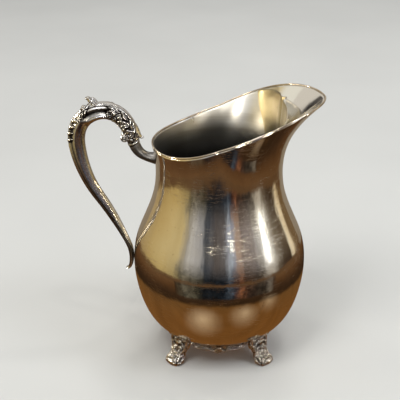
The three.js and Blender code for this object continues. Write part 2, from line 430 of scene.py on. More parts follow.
def polished_plate():
    """Outside of the spun body: silver plate gone a little warm, rubbed, scratched and spotted."""
    f = Finish("polished_plate")
    wrap, _ = f.wrapped()
    patches = f.noise(13.0, 4.0, roughness=0.55)
    tarnish = f.ramp(patches, (0.36, 0.0), (0.68, 1.0))
    colour = f.blend(tarnish, linear(236, 230, 218), linear(226, 212, 184))
    streaky = f.noise(1.0, 3.0, f.scaled((60, 9, 1), where=wrap))
    colour = f.blend(f.ramp(streaky, (0.45, 0.0), (0.75, 0.35)), colour, linear(200, 186, 160))
    spots = f.ramp(f.noise(520.0, 2.0), (0.69, 0.0), (0.76, 0.7))
    colour = f.blend(spots, colour, linear(150, 130, 104))
    lines = f.math("MAXIMUM", f.scratches(wrap, 14, 900, 26), f.scratches(wrap, 68, 760, 30))
    lines = f.math("MAXIMUM", lines, f.scratches(wrap, 121, 840, 24))
    cloud = f.noise(34.0, 5.0, roughness=0.6)
    roughness = f.ramp(cloud, (0.3, 0.055), (0.75, 0.13))
    roughness = f.plus(roughness, f.times(lines, 0.22))
    roughness = f.plus(roughness, f.times(spots, 0.2), clamp=True)
    wave = f.bump(f.noise(1.0, 3.0, f.scaled((46, 17, 10), where=wrap)), 0.5, 0.0012)
    spun = f.bump(f.noise(1.0, 2.0, f.scaled((4, 900, 4), where=wrap)), 0.05, 0.00012, wave)
    normal = f.bump(f.minus(1.0, lines), 0.22, 0.00006, spun)
    return f.metal(colour, roughness, normal)


def inner_plate(name, tan_from, bright_from):
    """Inside of the body, and the guard: satin, nearly black down inside from painted shade, turning
    yellow-brown from one distance ahead of the axis, and bright much-rinsed metal from a second one."""
    f = Finish(name)
    wrap, height = f.wrapped()
    ahead = f.place()[0]
    # Painted shade: the colour goes to nearly black from 20.6 cm down to 15 cm above the floor, deep
    # inside the body.
    painted_deep_shade = f.ramp(height, (0.150, 0.0), (0.206, 1.0))
    patches = f.ramp(f.noise(24.0, 5.0, roughness=0.6), (0.4, 0.0), (0.7, 1.0))
    upper = f.blend(f.times(patches, 0.3), linear(212, 213, 214), linear(180, 168, 138))
    yellow = f.blend(patches, linear(182, 170, 136), linear(158, 142, 104))
    tanned = f.math("DIVIDE", f.minus(ahead, tan_from - 0.015), 0.04, clamp=True)
    upper = f.blend(tanned, upper, yellow)
    colour = f.blend(painted_deep_shade, linear(26, 28, 32), upper)
    tide = f.noise(1.0, 4.0, f.scaled((5, 120, 5), where=wrap))
    colour = f.blend(f.ramp(tide, (0.52, 0.0), (0.72, 0.35)), colour, linear(112, 100, 78))
    roughness = f.ramp(f.noise(30.0, 4.0), (0.3, 0.27), (0.75, 0.36))
    bright = f.math("DIVIDE", f.minus(ahead, bright_from - 0.001), 0.002, clamp=True)
    colour = f.blend(bright, colour, linear(242, 240, 234))
    roughness = f.blend(bright, roughness, (0.1, 0.1, 0.1))
    spun = f.bump(f.noise(1.0, 3.0, f.scaled((5, 1300, 5), where=wrap)), 0.16, 0.00016)
    pits = f.ramp(f.noise(700.0, 2.0), (0.62, 0.0), (0.72, 1.0))
    normal = f.bump(f.minus(1.0, pits), 0.12, 0.0001, spun)
    return f.metal(colour, roughness, normal)


def cast_silver(name, bright, dark, depth_of_dark, speckle):
    """Chased castings: bright on the high parts, black in the hollows, rubbed edges. The black
    follows the hollow number: oxide in the hollows, and painted dark reflection where the handle adds it.
    """
    f = Finish(name)
    hollow = f.node("ShaderNodeAttribute", attribute_name="hollow").outputs["Fac"]
    patches = f.ramp(f.noise(40.0, 4.0, roughness=0.6), (0.35, 0.0), (0.7, 1.0))
    colour = f.blend(patches, bright, tuple(c * k for c, k in zip(bright, (0.84, 0.78, 0.66))))
    # Grime and painted dark reflection: noise varies how far the hollow number darkens the colour.
    grime_and_shade = f.times(f.noise(300.0, 4.0, roughness=0.7), 0.5)
    low = f.times(hollow, f.plus(grime_and_shade, depth_of_dark), clamp=True)
    colour = f.blend(low, colour, dark)
    chased = f.noise(560.0, 2.0, roughness=0.6, distortion=0.5)
    pitted = f.ramp(chased, (0.44, 1.0), (0.54, 0.0))
    colour = f.blend(f.times(pitted, speckle), colour, dark)
    roughness = f.ramp(f.noise(90.0, 4.0), (0.3, 0.1), (0.75, 0.24))
    roughness = f.plus(roughness, f.times(low, 0.3), clamp=True)
    grain = f.bump(f.noise(620.0, 4.0, roughness=0.65), 0.22, 0.0002)
    sunk = f.bump(chased, 0.9 * speckle, 0.0014, grain)
    normal = f.bump(f.noise(120.0, 2.0), 0.16, 0.0005, sunk)
    return f.metal(colour, roughness, normal)


def rubbed_wire():
    """The rolled wire of the rim: bright, with dull rubbed lengths."""
    f = Finish("rubbed_wire")
    patches = f.ramp(f.noise(60.0, 4.0), (0.35, 0.0), (0.7, 1.0))
    colour = f.blend(patches, linear(216, 208, 196), linear(188, 174, 150))
    roughness = f.ramp(f.noise(150.0, 3.0), (0.3, 0.1), (0.75, 0.26))
    normal = f.bump(f.noise(420.0, 3.0), 0.15, 0.0002)
    return f.metal(colour, roughness, normal)


PLATE = polished_plate()
INSIDE = inner_plate("inner_plate", 0.036, 0.053)
GUARD_PLATE = inner_plate("guard_face", 0.0, 0.2)
GUARD_BACK = inner_plate("guard_back", 0.0, 0.0)
WIRE = rubbed_wire()
CASTING = cast_silver("cast_handle", linear(214, 216, 222), linear(26, 24, 24), 0.95, 0.12)
FOOT_CASTING = cast_silver("cast_feet", linear(250, 251, 255), linear(26, 24, 24), 0.75, 0.6)


# ---- the spun body and its mouth --------------------------------------------------------------


def spout_share(angle):
    turned = abs(math.atan2(math.sin(angle), math.cos(angle))) / (math.pi / 2)
    return (1 - turned**1.38) ** 1.25 if turned < 1 else 0.0


def rim_height(x):
    along = max(0.0, (x + MOUTH_RADIUS) / (SPOUT_REACH + MOUTH_RADIUS))
    return mix(RIM_LOW, RIM_HIGH, smoothstep(along**1.04))


def lip_section(angle, count):
    """Upright section of neck and lip at one angle, as a Bezier curve in r and z."""
    share = spout_share(angle)
    radius = mix(MOUTH_RADIUS, SPOUT_REACH, share)
    neck = np.array(BODY_SECTION[-1], float)
    rim = np.array([radius, rim_height(radius * math.cos(angle))])
    flare = math.radians(mix(LIP_FLARE_BACK, LIP_FLARE_SPOUT, share))
    rise = neck + (0, (rim[1] - neck[1]) * 0.42)
    reach = np.linalg.norm(rim - neck)
    lean = rim - np.array([math.sin(flare), math.cos(flare)]) * reach * 0.43
    t = np.linspace(0, 1, count)[:, None]
    s = 1 - t
    return s**3 * neck + 3 * s * s * t * rise + 3 * s * t * t * lean + t**3 * rim


def wall_sections():
    """Outer section of the wall at every angle round the body: angles by levels by (r, z)."""
    belly = SmoothLine(BODY_SECTION).even(220)
    sections = []
    for angle in ANGLES:
        line = evened(np.vstack([belly, lip_section(angle, 90)[1:]]), WALL_LEVELS)
        step = np.linalg.norm(np.diff(line, axis=0), axis=1).mean()
        sections.append(softened(line, SECTION_SOFTENING / step))
    return np.array(sections)


def moved_in(sections, inset):
    """The sections moved square to themselves, towards the inside of the body."""
    slope = np.gradient(sections, axis=1)
    slope /= np.linalg.norm(slope, axis=2, keepdims=True)
    r = sections[..., 0] - slope[..., 1] * inset
    z = sections[..., 1] + slope[..., 0] * inset
    return np.stack([r, z], 2)


def turned(sections):
    """Sections set round the axis, as a grid of points: levels by angles."""
    r, z = sections[..., 0].T, sections[..., 1].T
    return np.stack([r * np.cos(ANGLES), r * np.sin(ANGLES), z], 2)


ANGLES = np.linspace(0, 2 * math.pi, AROUND_BODY, endpoint=False)
OUTER = wall_sections()
INNER = moved_in(OUTER, WALL)


def wall_radius(sections, angle, z):
    """Radius of the wall at one angle and height, from the neck upwards."""
    place = (angle / (2 * math.pi) * AROUND_BODY) % AROUND_BODY
    low = int(place) % AROUND_BODY
    high = (low + 1) % AROUND_BODY
    both = [np.interp(z, sections[i, NECK_LEVEL:, 1], sections[i, NECK_LEVEL:, 0]) for i in (low, high)]
    return mix(both[0], both[1], place - int(place))


def belly_height(r):
    """Height of the outside of the belly above the feet, at a distance from the axis."""
    low = OUTER[0, : WALL_LEVELS // 3]
    return np.interp(r, low[:, 0], low[:, 1])


def base_disc(z, rings=6):
    """The flat base inside the first point of the section, left open by a pinhole in its middle."""
    radius = BODY_SECTION[0][0]
    grid = []
    for k in range(rings):
        r = radius * (k + 0.02) / rings
        grid.append(np.stack([r * np.cos(ANGLES), r * np.sin(ANGLES), np.full(AROUND_BODY, z)], 1))
    return np.array(grid)


def make_body():
    piece = Piece()
    outside = np.vstack([base_disc(OUTER[0, 0, 1]), turned(OUTER)])
    inside = np.vstack([base_disc(INNER[0, 0, 1]), turned(INNER)])
    rows = len(outside)
    faces = grid_faces(rows, AROUND_BODY, closed_columns=True)
    piece.add(outside, faces)
    piece.add(inside, [face[::-1] for face in faces], finish=1)
    top = (rows - 1) * AROUND_BODY
    shift = rows * AROUND_BODY
    edge = []
    for j in range(AROUND_BODY):
        k = (j + 1) % AROUND_BODY
        edge.append((top + j, top + k, top + k + shift, top + j + shift))
    piece.faces += edge
    piece.finish += [0] * len(edge)
    return piece.build("spun_body", [PLATE, INSIDE], ["body_shell"])


def make_rim():
    """The wire stands on the edge of the lip, its middle over the middle of the wall."""
    piece = Piece()
    sides = 16
    stand_off = RIM_WIRE_RADIUS + 0.1
    rings = []
    for i, angle in enumerate(ANGLES):
        edge, before = OUTER[i, -1], OUTER[i, -2]
        slope = (edge - before) / np.linalg.norm(edge - before)
        r = edge[0] + slope[0] * stand_off - slope[1] * WALL / 2
        z = edge[1] + slope[1] * stand_off + slope[0] * WALL / 2
        turns = np.linspace(0, 2 * math.pi, sides, endpoint=False)
        out = r + np.cos(turns) * RIM_WIRE_RADIUS
        up = z + np.sin(turns) * RIM_WIRE_RADIUS
        rings.append(np.stack([out * math.cos(angle), out * math.sin(angle), up], 1))
    grid = np.array(rings)
    piece.add(grid, grid_faces(AROUND_BODY, sides, closed_rows=True, closed_columns=True))
    return piece.build("rolled_rim", [WIRE], ["rim_wire"])


# ---- the ice guard ----------------------------------------------------------------------------

# Half of the guard's top edge and of its bottom edge, from the middle past the wall: y, x, z.
GUARD_TOP = [
    (0, 56.0, 238.0),
    (1.6, 54.2, 237.3),
    (5, 52.7, 237.0),
    (15, 53.3, 235.8),
    (27, 52.9, 233.8),
    (38, 50.8, 232.0),
    (48, 46.2, 229.4),
    (58, 39.6, 225.6),
    (66, 33.0, 222.5),
]
GUARD_BOTTOM = [
    (0, 50.5, 195.0),
    (15, 50.0, 194.0),
    (30, 46.5, 190.5),
    (46, 38.0, 186.0),
    (62, 24.0, 182.0),
]


def guard_row(up, side):
    """Points of the guard at one height, from its middle to where it meets the wall."""
    fine, kept = 160, 48
    top = SmoothLine(GUARD_TOP, space=3).even(fine)
    bottom = SmoothLine(GUARD_BOTTOM, space=3).even(fine)
    row = mix(bottom, top, up)
    x = row[:, 1] - GUARD_BOW * 4 * up * (1 - up)
    y = row[:, 0] * side
    skew = math.radians(GUARD_SKEW)
    shifted = x - GUARD_MIDDLE_X
    turned_x = GUARD_MIDDLE_X + shifted * math.cos(skew) - y * math.sin(skew)
    turned_y = shifted * math.sin(skew) + y * math.cos(skew)
    points = np.stack([turned_x, turned_y, row[:, 2]], 1)
    reach = np.hypot(points[:, 0], points[:, 1])
    wall = np.array([wall_radius(OUTER, math.atan2(p[1], p[0]), p[2]) for p in points])
    free = wall - WALL - GUARD_GAP - reach
    last = np.nonzero(free > 0)[0][-1]
    part = free[last] / (free[last] - free[last + 1])
    row = np.vstack([points[: last + 1], mix(points[last], points[last + 1], part)])
    free = np.append(free[: last + 1], 0.0)
    # The soldered end runs out along the wall instead of meeting it at an edge.
    drawn = free * GUARD_RUN_OUT / (free + GUARD_RUN_OUT) * (1 - smoothstep(free / GUARD_RUN_OUT_REACH))
    row[:, :2] *= (1 + drawn / np.hypot(row[:, 0], row[:, 1]))[:, None]
    return evened(row, kept)


def make_guard():
    piece = Piece()
    levels = 26
    face = []
    for k in range(levels):
        up = k / (levels - 1)
        left, right = guard_row(up, -1), guard_row(up, 1)
        face.append(np.vstack([left[:0:-1], right]))
    face = np.array(face)
    normal = grid_normals(face)
    back = face + normal * np.sign(normal[..., :1]) * GUARD_THICKNESS
    bead = (face[-1] + back[-1]) / 2 + (0, 0, GUARD_BEAD)
    front = np.concatenate([face, bead[None]])
    rear = np.concatenate([bead[None], back[::-1], face[:1]])
    piece.add(front, grid_faces(*front.shape[:2]))
    piece.add(rear, grid_faces(*rear.shape[:2]), finish=1)
    return piece.build("guard_plate", [GUARD_PLATE, GUARD_BACK], ["ice_guard"])


# ---- the cast handle --------------------------------------------------------------------------

# Middle line of the casting in the plane y = 0: x, z, thickness in the plane, breadth across it.
HANDLE_LINE = [
    (-53.0, 183.2, 12.5, 12),
    (-61.4, 184.5, 8.6, 9.5),
    (-69, 189.4, 9.3, 9.5),
    (-73.3, 198.5, 10.5, 10.5),
    (-76.2, 210.3, 13, 12),
    (-84, 221.6, 14.5, 13),
    (-96.2, 226.3, 15, 13.5),
    (-107.5, 224.1, 15.2, 13.5),
    (-117.4, 216, 15.2, 13),
    (-121.8, 203.2, 15, 12.5),
    (-121.2, 190.6, 14.4, 12),
    (-118.2, 176.6, 13, 11.5),
    (-114, 164.4, 11.6, 11),
    (-108.4, 152.9, 10.6, 10.5),
    (-102.2, 142.7, 9.8, 10),
    (-91.6, 123.4, 7.8, 9.5),
    (-83.8, 106.5, 5.6, 9),
    (-80.2, 96.5, 5, 8.5),
    (-79.2, 87, 4.4, 8),
    (-80.2, 80, 3.4, 7),
    (-82, 76.5, 2.6, 6),
    (-84.4, 75.6, 1.6, 4.5),
]

# Half sections of the casting, from its outer edge round to the edge at the finger gap. Each
# point is a share of half the thickness and a share of half the breadth.
BRANCH_SECTION = [
    (1.00, 0.00), (0.93, 0.34), (0.76, 0.62), (0.60, 0.78), (0.46, 0.86), (0.24, 0.96),
    (0.00, 1.00), (-0.24, 0.96), (-0.46, 0.86), (-0.64, 0.74), (-0.80, 0.56), (-0.95, 0.28), (-1.00, 0.00),
]
BAND_SECTION = [
    (1.00, 0.00), (0.95, 0.46), (0.78, 0.78), (0.62, 0.82), (0.53, 0.98), (0.42, 0.84),
    (0.02, 0.72), (-0.38, 0.84), (-0.50, 0.98), (-0.62, 0.86), (-0.80, 0.62), (-0.95, 0.32), (-1.00, 0.00),
]
LIMB_SECTION = [
    (1.00, 0.00), (0.92, 0.42), (0.78, 0.60), (0.66, 0.62), (0.50, 0.74), (0.30, 0.90),
    (0.10, 1.02), (-0.04, 0.98), (-0.30, 0.88), (-0.56, 0.72), (-0.78, 0.50), (-0.94, 0.24), (-1.00, 0.00),
]
STRAP_SECTION = [
    (1.00, 0.00), (0.90, 0.40), (0.70, 0.66), (0.56, 0.80), (0.40, 0.90), (0.20, 0.97),
    (0.00, 1.00), (-0.20, 0.97), (-0.40, 0.90), (-0.56, 0.80), (-0.72, 0.64), (-0.90, 0.36), (-1.00, 0.00),
]
# Where each section holds along the casting, in millimetres from the neck.
SECTION_STATIONS = [
    (0, BRANCH_SECTION),
    (60, BRANCH_SECTION),
    (65, BAND_SECTION),
    (80, BAND_SECTION),
    (90, LIMB_SECTION),
    (205, LIMB_SECTION),
    (222, STRAP_SECTION),
    (260, STRAP_SECTION),
]


def handle_section(along):
    """The whole section of the casting at one place, as shares of its two half sizes."""
    places = [place for place, _ in SECTION_STATIONS]
    k = max(0, min(len(places) - 2, int(np.searchsorted(places, along, "right")) - 1))
    part = smoothstep((along - places[k]) / (places[k + 1] - places[k]))
    half = mix(np.array(SECTION_STATIONS[k][1]), np.array(SECTION_STATIONS[k + 1][1]), part)
    return np.vstack([half, half[-2:0:-1] * (1, -1)])


def rounded_ring(ring, count, spread):
    """A closed outline with more points and its corners rounded."""
    closed = np.vstack([ring, ring[:1]])
    line = evened(closed, count + 1)[:-1]
    reach = int(math.ceil(spread * 3))
    return averaged(np.vstack([line[-reach:], line, line[:reach]]), reach, spread)


def lace(side, v, count, width, rise, seed, size=1.3):
    """Close-set small curls over a strip, as one half of a casting's pattern."""
    chance = np.random.default_rng(seed)
    height = np.zeros_like(v)
    for k in range(count):
        middle = (chance.uniform(0.4, width), mix(0.8, rise, (k + chance.uniform(0, 1)) / count))
        radius = size * chance.uniform(0.8, 1.5)
        away = np.hypot(side - middle[0], v - middle[1])
        around = np.arctan2(v - middle[1], side - middle[0]) + chance.uniform(-math.pi, math.pi)
        opening = 0.3 + 0.7 * smoothstep(0.5 + 1.4 * np.cos(around))
        curl = chance.uniform(1.0, 1.6) * opening * bell(away - radius, 0.55)
        height = np.maximum(height, np.maximum(curl, 1.2 * bell(away, 0.6)))
    return height


def handle_relief(u, v):
    """Chasing on the casting: u runs from the neck, v from the outer edge round each side."""
    side = np.abs(v)
    shapes = [np.zeros_like(u)]
    # Acanthus leaf on each flank of the shoulder: a broken mass of small lobes and curls.
    leaf = smoothstep((u - 28) / 3) * smoothstep((66 - u) / 4) * smoothstep((side - 3.6) / 1.2)
    curls = lace(side - 3.5, u - 28, 34, 15, 38, 5, 1.5)
    shapes.append(curls * leaf * smoothstep((18.5 - side) / 1.5))
    shapes.append(ridge(u, side, spiral((36.5, 9.6), 3.4, 1.3, 200), 0.85, 1.3))
    shapes.append(ridge(u, side, spiral((47.5, 11.0), 2.6, 1.2, 20), 0.75, 1.15))
    for k in range(4):
        base = 62 - 8 * k
        lobe = [(base, 5.0), (base - 3, 6.8), (base - 6.5, 6.6)]
        shapes.append(ridge(u, side, lobe, 0.8, 1.1, taper=0.3))
    shapes.append(ridge(u, side, [(66, 5.0), (56, 4.0), (44, 3.8), (32, 3.4)], 0.55, 0.5))
    shapes.append(ridge(u, side, [(64, 17.6), (54, 17.2), (44, 17.8), (34, 16.8)], 0.6, 0.6))
    # Stems of the crest leaf, swept down each flank of the bend.
    for k in range(3):
        base = 76.5 + 2.9 * k
        stem = [(base, 0.6), (base + 1.6, 3.4), (base + 3.8, 6.6), (base + 6.6, 9.4)]
        shapes.append(ridge(u, side, stem, 0.95, 0.85, taper=0.4))
    # Gadroons under the crest leaf, set in from the outer edge.
    for k in range(4):
        base = 90.5 + 5.0 * k
        lobe = [(base + 1.8, 3.4), (base + 1.0, 5.2), (base + 0.2, 7.4)]
        shapes.append(ridge(u, side, lobe, 1.5 - 0.1 * k, 0.9, taper=0.3))
    # A plain collar under the leaf.
    shapes.append(ridge(u, side, [(28.0, 2), (26.6, 9), (27.2, 22)], 0.8, 0.4))
    return np.maximum.reduce(shapes)


def make_handle():
    piece = Piece()
    line = SmoothLine(HANDLE_LINE)
    rows, around, rounding = 620, 132, 1.3
    along = np.linspace(0, line.length, rows)
    path = line.at(along)
    slope = np.gradient(path[:, :2], axis=0)
    slope /= np.linalg.norm(slope, axis=1, keepdims=True)
    grid = np.zeros((rows, around, 3))
    v = np.zeros((rows, around))
    for i in range(rows):
        ring = rounded_ring(handle_section(along[i]), around, rounding)
        out = ring[:, 0] * path[i, 2] / 2
        across = ring[:, 1] * path[i, 3] / 2
        # The line leaves the neck, goes over the top and down: seen from the front, the outer
        # edge is on its right.
        grid[i, :, 0] = path[i, 0] + slope[i, 1] * out
        grid[i, :, 2] = path[i, 1] - slope[i, 0] * out
        grid[i, :, 1] = -across
        edge = np.hypot(np.diff(out, append=out[0]), np.diff(across, append=across[0]))
        walked = np.concatenate([[0], np.cumsum(edge)[:-1]])
        v[i] = np.where(walked > edge.sum() / 2, walked - edge.sum(), walked)
    u = np.repeat(along[:, None], around, 1)
    relief = handle_relief(u, v)
    grid += outward(grid) * relief[..., None]
    hollow = np.clip((blurred(relief, 14) - relief) / 0.35, 0, 1)
    ornate = blurred((relief > 0.05).astype(float), 20)
    # Painted dark reflection on the cove of the shoulder and on the branch by the neck, and the channels
    # of the limb darkened as well, all carried in the hollow number.
    side = np.abs(v)
    shoulder = smoothstep((u - 58) / 6) * smoothstep((90 - u) / 8)
    cove = shoulder * (0.8 * bell(side - 10.6, 3.0) + 0.9 * bell(side - 5.6, 0.6))
    limb = smoothstep((u - 92) / 8) * 0.75 * bell(side - 6.6, 1.5)
    branch = 0.6 * smoothstep((28 - u) / 6)
    between = ornate * 0.65 * (relief < 0.35)
    piece.add_tube(grid, np.clip(hollow * 1.3 + between + cove + limb + branch, 0, 1))
    add_crest(piece)
    add_spur(piece)
    add_knuckle(piece)
    return piece.build("cast_handle", [CASTING], ["handle"])


def outward(grid):
    """Normals of a stack of closed rings, all pointing away from the rings' middles."""
    normal = grid_normals(grid, closed_columns=True)
    away = grid - grid.mean(axis=1, keepdims=True)
    facing = np.sign((normal * away).sum(axis=2).mean())
    return normal * facing


def petal(rows, cup=0.0, lean=0.0, offset=0.0, sides=20, levels=26, rib=0.5):
    """A cast leaf: rows of x, z, breadth, thickness, with a rib on its face and its edges cupped."""
    line = SmoothLine(rows)
    path = line.even(levels)
    slope = np.gradient(path[:, :2], axis=0)
    slope /= np.linalg.norm(slope, axis=1, keepdims=True)
    grid = np.zeros((levels, sides, 3))
    turns = np.linspace(0, 2 * math.pi, sides, endpoint=False)
    for i in range(levels):
        across = np.cos(turns) * path[i, 2] / 2
        ribbed = 1 + rib * bell(across, 0.22 * path[i, 2] + 0.01)
        thick = np.sin(turns) * path[i, 3] / 2 * ribbed
        bowed = thick + cup * (across / max(path[i, 2] / 2, 0.1)) ** 2
        grid[i, :, 0] = path[i, 0] - slope[i, 1] * bowed
        grid[i, :, 2] = path[i, 1] + slope[i, 0] * bowed
        grid[i, :, 1] = offset + across + lean * i / (levels - 1)
    return grid


def add_crest(piece):
    """Three curled leaves that stand up from the top of the handle."""
    middle = [(-104, 229, 7.5, 5), (-107, 232.4, 7.4, 3.6), (-108.8, 235.4, 6.4, 2.6),
              (-110.4, 237.0, 4.6, 2.0), (-111.8, 236.4, 2.2, 1.4)]
    piece.add_tube(petal(middle, cup=-1.0))
    side = [(-101, 229, 5.4, 4.6), (-104, 232, 5.4, 3.0), (-105.6, 234.6, 4.6, 2.2),
            (-107.4, 235.6, 3.0, 1.6), (-108.6, 234.6, 1.4, 1.0)]
    low = [(-110, 225, 5.2, 4.6), (-112.8, 227.0, 4.8, 3.0), (-114.2, 228.6, 3.8, 2.2),
           (-115.4, 228.8, 2.2, 1.4), (-116.0, 227.8, 1.0, 0.9)]
    for hand in (-1, 1):
        piece.add_tube(petal(side, cup=-0.6, lean=1.6 * hand, offset=2.4 * hand))
        piece.add_tube(petal(low, cup=-0.6, lean=1.2 * hand, offset=2.6 * hand))


def add_spur(piece):
    """Tip of the acanthus leaf, turned out over the branch on the side of the mouth."""
    tip = [(-76, 217, 8, 4), (-71.4, 211, 8.0, 3.6), (-69.2, 206.4, 7.0, 2.8),
           (-67.4, 203.4, 5.0, 2.0), (-65.8, 202.4, 2.8, 1.3), (-64.6, 202.8, 1.0, 0.8)]
    piece.add_tube(petal(tip, cup=-0.8))


def add_knuckle(piece):
    """The scroll under the leaf on the side of the finger gap, a turned roll across the handle."""
    profile = [(0.0, 0.1), (0.1, 0.9), (0.5, 1.4), (0.3, 2.0), (0.6, 2.8), (1.4, 3.3), (2.6, 3.15),
               (3.3, 2.8), (4.1, 3.05), (5.2, 3.2)]
    middle_x, middle_z, half_length, sides = -80.6, 202.4, 5.2, 36
    half = np.array([(a - half_length, r) for a, r in profile])
    whole = np.vstack([half, (half * (-1, 1))[::-1][1:]])
    line = SmoothLine(whole).even(56)
    turns = np.linspace(0, 2 * math.pi, sides, endpoint=False)
    grid = np.zeros((len(line), sides, 3))
    for i, (y, r) in enumerate(line):
        round_x, round_z = middle_x + r * np.cos(turns), middle_z + r * np.sin(turns)
        grid[i] = np.stack([round_x, np.full(sides, y), round_z], 1)
    hollow = np.clip((2.95 - line[:, 1]) / 1.2, 0, 0.45)[:, None].repeat(sides, 1)
    piece.add_tube(grid, hollow)


# ---- the cast feet and the aprons between them ------------------------------------------------

# Level sections of one foot: z, distance from the axis, half depth, half breadth.
FOOT_SECTIONS = [
    (0, 56.3, 5.0, 5.6),
    (2.5, 56.9, 5.2, 6.3),
    (5, 55.2, 4.9, 6.1),
    (8, 52.2, 4.4, 5.6),
    (12, 50.2, 3.9, 6.6),
    (17, 49.2, 3.6, 8.6),
    (22, 49.0, 3.4, 9.6),
    (27, 49.2, 3.4, 9.9),
]


def ring_points(distance, azimuth, arc, z):
    """Points at a distance from the axis, at an arc length along the ring from one azimuth."""
    angle = math.radians(azimuth) + arc / RING_RADIUS
    x, y = distance * np.cos(angle), distance * np.sin(angle)
    return np.stack(np.broadcast_arrays(x, y, z), -1)


def foot_relief(u, v):
    """Leaf and scroll work round a foot: u from the middle of its face, v above the table."""
    side = np.abs(u)
    shapes = [lace(side, v, 62, 21, 27, 11)]
    shapes.append(ridge(side, v, [(8.6, 26), (8.2, 19.5), (6.0, 12.5), (4.8, 8.5), (5.6, 4.5)], 0.75, 1.3))
    shapes.append(ridge(side, v, [(0, 26), (0.3, 21), (0, 16.5)], 0.7, 1.1))
    for k in range(3):
        base = 13.2 + 4.4 * k
        spread = 3.4 + 1.0 * k
        lobe = [(0.5, base), (spread * 0.5, base + 2.4), (spread, base + 2.6), (spread + 1.2, base + 0.7)]
        shapes.append(ridge(side, v, lobe, 0.7, 1.2, taper=0.2))
        shapes.append(boss(side, v, (spread + 0.9, base + 0.6), 0.85, 1.5))
    shapes.append(ridge(side, v, spiral((2.6, 9.4), 1.9, 1.2, 70, hand=-1), 0.6, 1.3))
    # The toe: a broad pad under a curled edge.
    shapes.append(ridge(side, v, [(0, 5.6), (2.6, 5.2), (4.4, 3.4), (4.6, 1.4)], 0.7, 1.2))
    shapes.append(boss(side, v, (0.4, 2.6), 2.2, 1.25))
    return np.maximum.reduce(shapes)


def make_foot(node, azimuth):
    piece = Piece()
    levels, around = 130, 200
    heights = np.linspace(0, FOOT_SECTIONS[-1][0], levels)
    sizes = SmoothLine(FOOT_SECTIONS, space=1).at(heights)[:, 1:]
    turns = np.linspace(0, 2 * math.pi, around, endpoint=False)
    cosine, sine = np.cos(turns), np.sin(turns)
    out = np.sign(cosine) * np.abs(cosine) ** FOOT_SQUARENESS
    across = np.sign(sine) * np.abs(sine) ** FOOT_SQUARENESS
    distance = sizes[:, :1] + sizes[:, 1:2] * out[None]
    arc = sizes[:, 2:3] * across[None]
    z = np.repeat(heights[:, None], around, 1)
    # Toes curl up at their two corners and tuck under at the front.
    corner = np.clip((np.abs(arc) - 3.2) / 3.0, 0, 1) ** 2 * np.clip((5 - z) / 5, 0, 1)
    front = np.clip((distance - 57) / 5, 0, 1)
    z = z + 1.3 * corner * front
    steps = np.hypot(np.diff(distance, axis=1, append=distance[:, :1]),
                     np.diff(arc, axis=1, append=arc[:, :1]))
    walked = np.cumsum(steps, axis=1) - steps
    whole = steps.sum(axis=1, keepdims=True)
    walked = np.where(walked > whole / 2, walked - whole, walked)
    relief = foot_relief(walked, z)
    fade = smoothstep(z / 1.2)
    grid = ring_points(distance, azimuth, arc, z)
    grid = grid + outward(grid) * (relief * fade)[..., None]
    reach = np.hypot(grid[..., 0], grid[..., 1])
    grid[..., 2] = np.maximum(0.0, np.minimum(grid[..., 2], belly_height(reach) - GAP_UNDER_BELLY))
    hollow = np.clip((blurred(relief, 10) - relief) / 0.3, 0, 1)
    deep = np.clip((0.6 - relief) / 0.5, 0, 1) * 0.65
    piece.add_tube(grid, np.clip(hollow + deep, 0, 1))
    return piece.build("cast_" + node, [FOOT_CASTING], [node])


def apron_edge(degrees):
    """Lower edge of an apron: a shell in the middle and an arch up to each foot. The beaded run
    is laid on where the apron is built.
    """
    shell = 2.6 * bell(degrees, 6)
    arch = 2.1 * smoothstep((np.abs(degrees) - 23) / 7)
    return 17.2 - shell + arch


def apron_relief(u, v):
    """Leaves, scrolls and a shell: u along the apron from its middle, v up from its lower edge."""
    side = np.abs(u)
    shapes = [np.zeros_like(u)]
    for k in range(-2, 3):
        shapes.append(ridge(u, v, [(0.5 * k, 5.6), (1.2 * k, 3.2), (2.0 * k, 0.8)], 0.8, 1.9))
        shapes.append(boss(u, v, (2.1 * k, 0.9), 1.1, 2.1))
    for k in range(8):
        base = 6.6 + 2.1 * k
        shapes.append(boss(side, v, (base, 0.9), 1.05, 1.9))
        shapes.append(boss(side, v, (base + 1.0, 2.7 + 0.4 * (k % 2)), 1.0, 1.7))
    shapes.append(ridge(side, v, spiral((21.8, 2.2), 2.1, 1.2, 200), 0.65, 2.0))
    shapes.append(ridge(side, v, [(22.4, 4.0), (24.8, 2.6), (26.8, 0.9), (29.0, 1.2)], 0.85, 1.8))
    shapes.append(ridge(side, v, [(24.2, 0.4), (26.4, 2.8), (28.8, 3.8)], 0.65, 1.5))
    return np.maximum.reduce(shapes)


